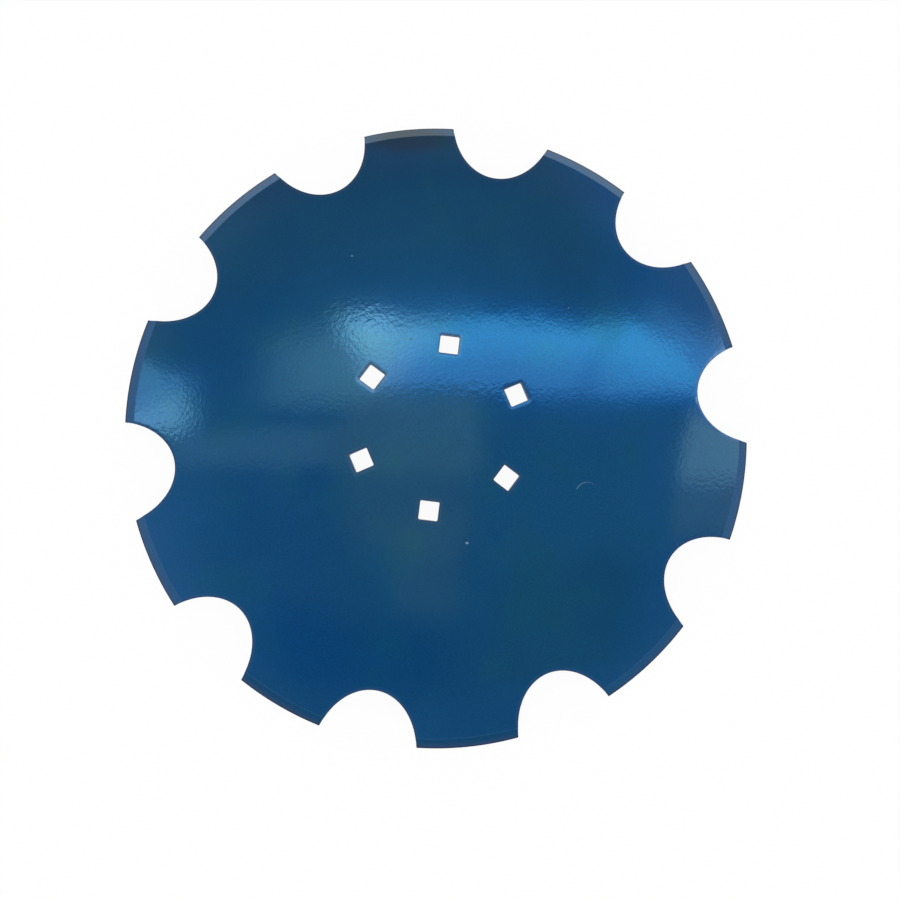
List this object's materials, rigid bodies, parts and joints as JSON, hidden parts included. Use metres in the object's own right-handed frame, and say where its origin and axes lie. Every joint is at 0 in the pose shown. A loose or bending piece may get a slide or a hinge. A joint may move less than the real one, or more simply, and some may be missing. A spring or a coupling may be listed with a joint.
{
  "type": "harrow disc blade",
  "caption": "Dished round soil blade with a scalloped rim, a ground bevel on its convex side and a circle of square bolt holes.",
  "frame": {"origin": "centre of the circle that the teeth stand on, in the plane of their tips", "axes": "+Z is the blade's axis, out of its convex side; +X passes through the first bolt hole"},
  "size_m": [0.56, 0.5535, 0.06],
  "materials": {
    "blue_enamel": "gloss blue enamel with a slight orange peel"
  },
  "bodies": {
    "root": {"disc_blade": "blue_enamel"}
  },
  "joints": []
}
